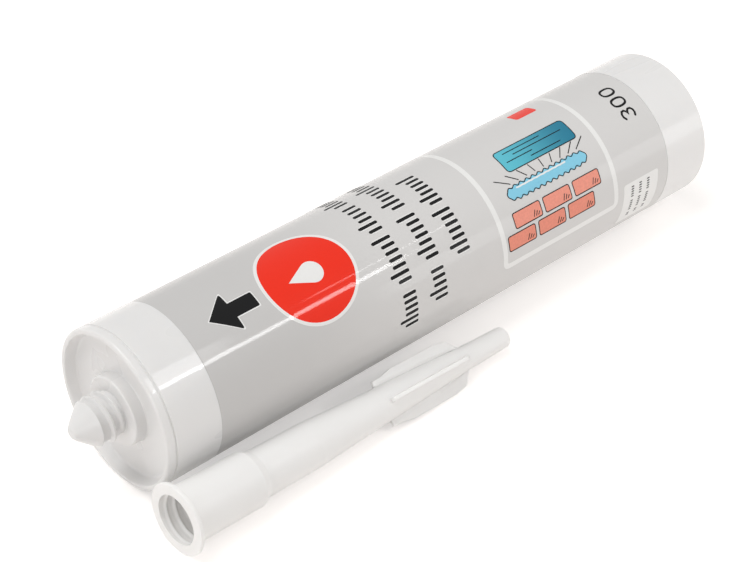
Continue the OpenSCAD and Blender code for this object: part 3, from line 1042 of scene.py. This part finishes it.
@dataclass
class Piston:
    """The moulded cup that closes the rear: plate, skirt with two lips, ribs and a hub."""

    tube: Tube
    place: float = 182.7 * MM
    length: float = 17 * MM
    plate: float = 1.6 * MM
    skirt_wall: float = 1.2 * MM
    lip_length: float = 2.4 * MM
    lip_height: float = 0.6 * MM
    lip_gap: float = 0.05 * MM
    rib_height: float = 4 * MM
    rib_thickness: float = 1.2 * MM
    rib_count: int = 8
    hub_radius: float = 7 * MM
    hub_segments: int = 96
    segments: int = 192
    finish: MouldedPlastic = MouldedPlastic("piston_plastic", (0.78, 0.78, 0.76), roughness=0.36, coat=0.1)

    def build(self) -> None:
        """Builds the cup as a turned surface, with the ribs and the hub set on its plate."""
        axis = self.tube.axis
        lip = self.tube.bore - self.lip_gap
        skirt = lip - self.lip_height
        cup = skirt - self.skirt_wall
        front, back, rear = self.place, self.place + self.plate, self.place + self.length
        corners = [
            (front, 0, 0), (front, skirt - 0.2 * MM, 0.3), (front + self.lip_height, lip, 0.25),
            (front + self.lip_length, lip, 0.25), (front + self.lip_length + self.lip_height, skirt, 0.3),
            (rear - self.lip_length - self.lip_height, skirt, 0.3), (rear - self.lip_length, lip, 0.25),
            (rear, lip, 0.25), (rear, cup, 0.3), (back, cup - 0.1 * MM, 0.8), (back, 0, 0),
        ]
        mould = Mould("piston_cup").turn(axis, held(rounded(corners)), self.segments)
        half, hub = self.rib_thickness / 2, self.hub_radius
        foot, top = back - half, back + self.rib_height
        ring = [
            (foot, hub - 2 * half, 0), (foot, hub, 0), (top, hub, 0.25), (top, hub - 2 * half, 0.25),
            (foot, hub - 2 * half, 0),
        ]
        mould.turn(axis, rounded(ring, 4)[:-1], self.hub_segments, ring=True)
        slab = rounded([(foot, -half, 0), (top, -half, 0.25), (top, half, 0.25), (foot, half, 0)], 4)
        reach = np.array([hub - half, cup + self.skirt_wall / 2])
        for out in axis.out(even_turn(self.rib_count)):
            across = np.cross(axis.along, out)
            rows = axis.start + slab[:, 0, None] * axis.along + slab[:, 1, None] * across
            middle = rows.mean(0)
            mould.add(capped(rows[None] + reach[:, None, None] * out, middle + reach[0] * out, middle + reach[1] * out))
        mould.cast("piston", "piston", self.finish, "piston")


@dataclass
class Adhesive:
    """The paste between the head and the piston."""

    tube: Tube
    gap: float = 0.05 * MM
    length: float = 177 * MM
    segments: int = 128
    joint: str = "piston_slide"
    fixed_end: float = -0.097
    left_over: float = 2 / 177
    finish: Paste = Paste("adhesive_paste", (0.74, 0.74, 0.71), roughness=0.3)

    def build(self) -> None:
        """Builds the filling as a turned surface."""
        tube = self.tube
        bore, neck = tube.bore - self.gap, tube.root - tube.neck_wall - self.gap
        front, rear = tube.head_back + self.gap, tube.head_back + self.length
        corners = [
            (tube.neck_front, 0, 0), (tube.neck_front, neck, 0.3), (front, neck, 0.2), (front, bore, 1.5),
            (rear, bore, 0.1), (rear, 0, 0),
        ]
        mould = Mould("adhesive_paste").turn(tube.axis, held(rounded(corners)), self.segments)
        piece = mould.cast("cartridge", "adhesive", self.finish, "adhesive")
        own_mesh(piece)


@dataclass
class Nozzle:
    """The loose nozzle: flange, socket barrel, step, tapering stem with four fins, and tip."""

    mount: str = "nozzle_socket"
    length: float = 125.4 * MM
    flange_radius: float = 10.7 * MM
    flange: float = 1.4 * MM
    barrel_length: float = 25 * MM
    barrel_wall: float = 0.85 * MM
    step: float = 2.6 * MM
    stem_radius: float = 7 * MM
    stem_draft: float = 0.15 * MM
    stem_end_radius: float = 5.4 * MM
    tip_radius: float = 3.7 * MM
    tip_draft: float = 0.35 * MM
    tip_round: float = 1.8 * MM
    wall: float = 1 * MM
    taper_at: float = 47 * MM
    taper_end: float = 2.5 * MM
    fin_at: float = 75 * MM
    fin_length: float = 33 * MM
    fin_radius: float = 8.1 * MM
    fin_full: float = 99.9 * MM
    fin_thickness: float = 1.2 * MM
    fin_count: int = 4
    fin_turn: float = 45.0
    fin_bevel: float = 0.35 * MM
    thread_pitch: float = 3 * MM
    thread_depth: float = 0.5 * MM
    thread_length: float = 10 * MM
    thread_rows: int = 90
    segments: int = 160
    finish: TranslucentPlastic = TranslucentPlastic("nozzle_plastic", (0.985, 0.975, 0.962), roughness=0.5)

    def __post_init__(self) -> None:
        """Takes the axis and the socket from the record's mount."""
        mount = next(m for m in frame["record"]["mounts"] if m["name"] == self.mount)
        along = -np.array(mount["axis"], float)
        along = along / np.linalg.norm(along)
        self.socket = mount["dims"]["r_mm"] * MM
        self.socket_length = mount["dims"]["length_mm"] * MM
        self.barrel = self.socket + self.barrel_wall
        side = np.cross(np.array([0.0, 0.0, 1.0]), along)
        side = -side / np.linalg.norm(side)
        up = np.cross(side, along) if np.cross(side, along)[2] > 0 else np.cross(along, side)
        self.axis = Line(np.array(mount["pos_m"], float) - along * self.socket_length / 2, along, up, side)

    def outline(self) -> np.ndarray:
        """Outline of the section, from the flange over the outside to the tip and back through the bore.

        Returns:
            Array of (n, 2): place along the axis and radius.
        """
        barrel, stem, wall = self.barrel, self.stem_radius, self.wall
        narrow, end = stem - self.stem_draft, self.stem_end_radius
        tip, tip_end = self.tip_radius, self.tip_radius - self.tip_draft
        fin_start, fin_end = self.fin_at, self.fin_at + self.fin_length
        taper_end = fin_start - self.taper_end
        step_end, last = self.barrel_length + self.step, self.length - self.tip_round
        thread_end = self.thread_length + 4 * MM
        corners = [
            (0, self.socket, 0.3), (0, self.flange_radius, 0.5), (self.flange, self.flange_radius, 0.5),
            (self.flange, barrel, 0.7), (self.barrel_length, barrel, 0.9), (step_end, stem, 1.5),
            (self.taper_at, narrow, 14), (taper_end, end, 3), (fin_start, end, 3), (fin_end, tip, 8),
            (last, tip_end, 2), (self.length, tip_end - 0.1 * MM, self.tip_round / MM), (self.length, 0, 0),
            (self.length - wall, 0, 0), (last - wall, tip_end - wall, 1), (fin_end, tip - wall, 8),
            (fin_start, end - wall, 3), (taper_end, end - wall, 3), (self.taper_at, narrow - wall, 10),
            (step_end, stem - wall, 1), (self.barrel_length, stem - wall, 0.4),
            (self.socket_length, self.socket, 0.5), (thread_end, self.socket, 0),
        ]
        points = held(rounded(corners, 8))
        inside = np.linspace(thread_end, 0.4 * MM, self.thread_rows)[1:]
        return np.concatenate([points[1:], np.stack([inside, np.full(inside.shape, self.socket)], 1), points[:1]])

    def build(self) -> None:
        """Builds the hollow body as one closed turned surface, with a threaded socket, and sets the fins on it.

        The socket's radius is less by depth * ridge, where the ridge is (0.5 + 0.5 cos(angle - 2 pi place / pitch))^3
        and fades out at both ends of the thread."""
        outline = self.outline()
        place, radius, angle = outline[:, :1], outline[:, 1:], even_turn(self.segments)[None, :]
        ridge = (0.5 + 0.5 * np.cos(np.radians(angle) - 2 * math.pi * place / self.thread_pitch)) ** 3
        fade = np.clip(np.minimum(place - 1 * MM, self.thread_length - place) / (1.5 * MM), 0, 1)
        threaded = np.isclose(radius, self.socket, atol=1e-7)
        radius = radius - np.where(threaded, self.thread_depth * ridge * fade, 0)
        mould = Mould("nozzle_moulding").add(self.axis.place(place, radius, angle), wrap_rows=True)
        for out in self.axis.out(self.fin_turn + even_turn(self.fin_count)):
            self.fin(mould, out)
        mould.cast("cartridge", "nozzle", self.finish, "nozzle")

    def fin(self, mould: Mould, out: np.ndarray) -> None:
        """Adds one fin: a thin plate with a notched start, a sloping end and round edges.

        From one flat side to the other the outline runs through insets b (1 - cos f) at heights of half the thickness
        less b (1 - sin f), where b is the bevel and f goes from 0 to 90 degrees.

        Args:
            mould: Mould that the fin goes into.
            out: Direction from the nozzle's axis.
        """
        start, end = self.fin_at, self.fin_at + self.fin_length
        r, tip, root = self.fin_radius, self.tip_radius, self.wall / 2
        corners = [
            (start, self.stem_end_radius - root, 0), (start, r - 1 * MM, 0.5), (start + 4 * MM, r - 0.8 * MM, 1.5),
            (start + 8 * MM, r, 3), (self.fin_full, r, 2.5), (end - 3.5 * MM, r - 0.7 * MM, 1.5),
            (end, tip - 0.1 * MM, 0.5), (end, tip - root, 0),
        ]
        flat = rounded(corners, 5)
        centre = np.array([start + 0.5 * self.fin_length, 0.5 * (r + tip)])
        bevel, half = self.fin_bevel, self.fin_thickness / 2
        sweep = np.radians(np.linspace(0, 90, 4))
        inset = bevel * (1 - np.cos(sweep))
        inset = np.concatenate([inset[::-1], inset])
        rise = half - bevel + bevel * np.sin(sweep)
        height = np.concatenate([[-half], -rise[::-1], rise, [half]])
        tangent = np.roll(flat, -1, 0) - np.roll(flat, 1, 0)
        normal = np.stack([tangent[:, 1], -tangent[:, 0]], 1) / np.linalg.norm(tangent, axis=1, keepdims=True)
        inward = np.sign(np.sum((centre - flat) * normal, axis=1, keepdims=True)) * normal
        loops = capped(flat[None] + inset[:, None, None] * inward[None], centre, centre)
        across = np.cross(self.axis.along, out)
        flat_part = loops[..., :1] * self.axis.along + loops[..., 1:] * out
        mould.add(self.axis.start + flat_part + height[:, None, None] * across)


@dataclass(frozen=True)
class Strip:
    """A lamp along the tube that its gloss mirrors as a line: its first and last place along the tube, its angle and
    width round the axis, and how bright it looks."""

    name: str
    span: Pair
    angle: float
    width: float
    radiance: float


@dataclass(frozen=True)
class Soft:
    """A soft lamp that faces the tube: its place from the foot of the front rim, its width along X and height, and its
    power in watts."""

    name: str
    place: Triple
    size: Pair
    power: float


@dataclass
class Studio:
    """Floor, lamps, world and the camera of the photograph. Places count from the foot of the front rim.

    The strips draw the highlights. The key hangs on the far side, so that the near side darkens, and two low fills
    light the head and the rear."""

    tube: Tube
    camera_place: Triple = (-217.2 * MM, -343.5 * MM, 364.9 * MM)
    camera_aim: Triple = (0.5415, 0.5937, -0.5953)
    lens: float = 92.66
    sensor: float = 36
    ambient: float = 0.42
    warmth: Triple = (1.0, 0.98, 0.955)
    floor_half: float = 6.0
    floor_colour: Triple = (0.95, 0.915, 0.895)
    floor_roughness: float = 0.9
    floor_gloss: float = 0.1
    floor_lift: float = 0.38
    far_lift: float = 0.7
    lift_span: Pair = (0.35, 1.6)
    strip_distance: float = 0.6
    strips: tuple[Strip, ...] = (
        Strip("strip", (0.275, 0.475), 48.0, 0.05, 18.0),
        Strip("strip_side", (0.40, 0.53), 36.5, 0.014, 10.0),
        Strip("patch", (0.265, 0.335), 38.0, 0.20, 4.0),
    )
    soft_aim: Triple = (110 * MM, 0.0, 25 * MM)
    soft_lamps: tuple[Soft, ...] = (
        Soft("key", (-0.3, 0.24, 1.1), (0.8, 0.8), 6.9),
        Soft("fill", (-1.0, -0.34, 0.2), (0.9, 0.34), 2.4),
        Soft("fill_rear", (0.75, -0.6, 0.15), (0.5, 0.26), 0.8),
    )

    def __post_init__(self) -> None:
        """Finds the point on the floor under the front rim's middle."""
        start = self.tube.axis.start
        self.foot = np.array([start[0], start[1], start[2] - self.tube.radius])

    def build(self) -> None:
        """Sets up the whole studio."""
        self.floor()
        self.world()
        for strip in self.strips:
            self.hang(strip)
        for soft in self.soft_lamps:
            self.lamp(soft, self.soft_aim)
        self.camera()

    def floor(self) -> None:
        """Lays a wide pale floor under the part, with a warm bounce. It glows for rays that see it, and more far out,
        where the lamps don't reach."""
        mesh = bpy.data.meshes.new("floor")
        half = self.floor_half
        mesh.from_pydata([(-half, -half, 0), (half, -half, 0), (half, half, 0), (-half, half, 0)], [], [(0, 1, 2, 3)])
        plane = placed("floor", mesh)
        material = bpy.data.materials.new("floor_paper")
        material.use_nodes = True
        graph = Graph(material.node_tree)
        away = graph.add("VectorMath", {0: graph.place()}, "Value", operation="LENGTH")
        lift = graph.ranged(away, self.lift_span, self.floor_lift, self.far_lift, "SMOOTHSTEP")
        inputs = {
            "Base Color": (*self.floor_colour, 1),
            "Roughness": self.floor_roughness,
            "Specular IOR Level": self.floor_gloss,
            "Emission Color": (1, 1, 1, 1),
            "Emission Strength": graph.add("Math", {0: lift, 1: self.seen(graph)}, "Value", operation="MULTIPLY"),
        }
        graph.feed(graph.tree.nodes["Principled BSDF"], inputs)
        mesh.materials.append(material)

    @staticmethod
    def seen(graph: Graph) -> Socket:
        """Tells rays that see the surroundings from rays that gather light.

        Args:
            graph: Graph to add to.

        Returns:
            Socket that is 1 for camera, glossy and transmission rays, and 0 for others.
        """
        joined = graph.add("LightPath", {}, "Is Camera Ray")
        for name in ("Is Glossy Ray", "Is Transmission Ray"):
            inputs = {0: joined, 1: graph.add("LightPath", {}, name)}
            joined = graph.add("Math", inputs, "Value", operation="MAXIMUM")
        return joined

    def world(self) -> None:
        """Lights the part softly from all round, and shows white behind it, in reflections and through clear parts.

        The numbers are the mix node's factor, its two colours and its colour output."""
        world = bpy.data.worlds.new("studio")
        bpy.context.scene.world = world
        world.use_nodes = True
        graph = Graph(world.node_tree)
        tint = (*(self.ambient * c for c in self.warmth), 1)
        mixed = graph.add("Mix", {0: self.seen(graph), 6: tint, 7: (1, 1, 1, 1)}, 2, data_type="RGBA")
        graph.feed(graph.tree.nodes["Background"], {"Strength": 1.0, "Color": mixed})

    def lamp(self, soft: Soft, aim: Triple) -> None:
        """Hangs one soft rectangular lamp.

        Args:
            soft: The lamp.
            aim: Point that it faces.
        """
        light = bpy.data.lights.new(soft.name, "AREA")
        light.shape = "RECTANGLE"
        light.size, light.size_y = soft.size
        light.energy = soft.power
        here, there = self.foot + np.array(soft.place), self.foot + np.array(aim)
        forward = (there - here) / np.linalg.norm(there - here)
        right = np.array([1.0, 0.0, 0.0]) - forward[0] * forward
        right = right / np.linalg.norm(right)
        turn = np.eye(4)
        turn[:3] = np.stack([right, np.cross(right, forward), -forward, here], axis=1)
        placed(soft.name, light).matrix_world = Matrix(turn.tolist())

    def hang(self, strip: Strip) -> None:
        """Hangs one strip at the strip distance from the tube's axis. Its power is radiance * pi * area.

        Args:
            strip: The strip.
        """
        turn, middle, length = math.radians(strip.angle), sum(strip.span) / 2, strip.span[1] - strip.span[0]
        height, reach = self.tube.radius, self.strip_distance
        place = (middle, -reach * math.sin(turn), height + reach * math.cos(turn))
        power = strip.radiance * math.pi * length * strip.width
        self.lamp(Soft(strip.name, place, (length, strip.width), power), (middle, 0.0, height))

    def camera(self) -> None:
        """Puts the camera where the photograph was taken from."""
        data = bpy.data.cameras.new("camera")
        data.lens = self.lens
        data.sensor_width = self.sensor
        holder = placed("camera", data)
        forward = Vector(self.camera_aim).normalized()
        right = forward.cross(Vector((0, 0, 1))).normalized()
        turn = Matrix((right, right.cross(forward), -forward)).transposed().to_4x4()
        turn.translation = Vector((self.foot + np.array(self.camera_place)).tolist())
        holder.matrix_world = turn
        bpy.context.scene.camera = holder


def main() -> None:
    """Builds every sub-assembly and the studio in order."""
    logging.basicConfig(level=logging.INFO, format="%(message)s")
    bpy.context.scene.view_settings.view_transform = "Standard"
    tube = Tube()
    tube.build()
    Label(tube).build()
    Adhesive(tube).build()
    Piston(tube).build()
    Nozzle().build()
    Studio(tube).build()


if __name__ == "__main__":
    main()
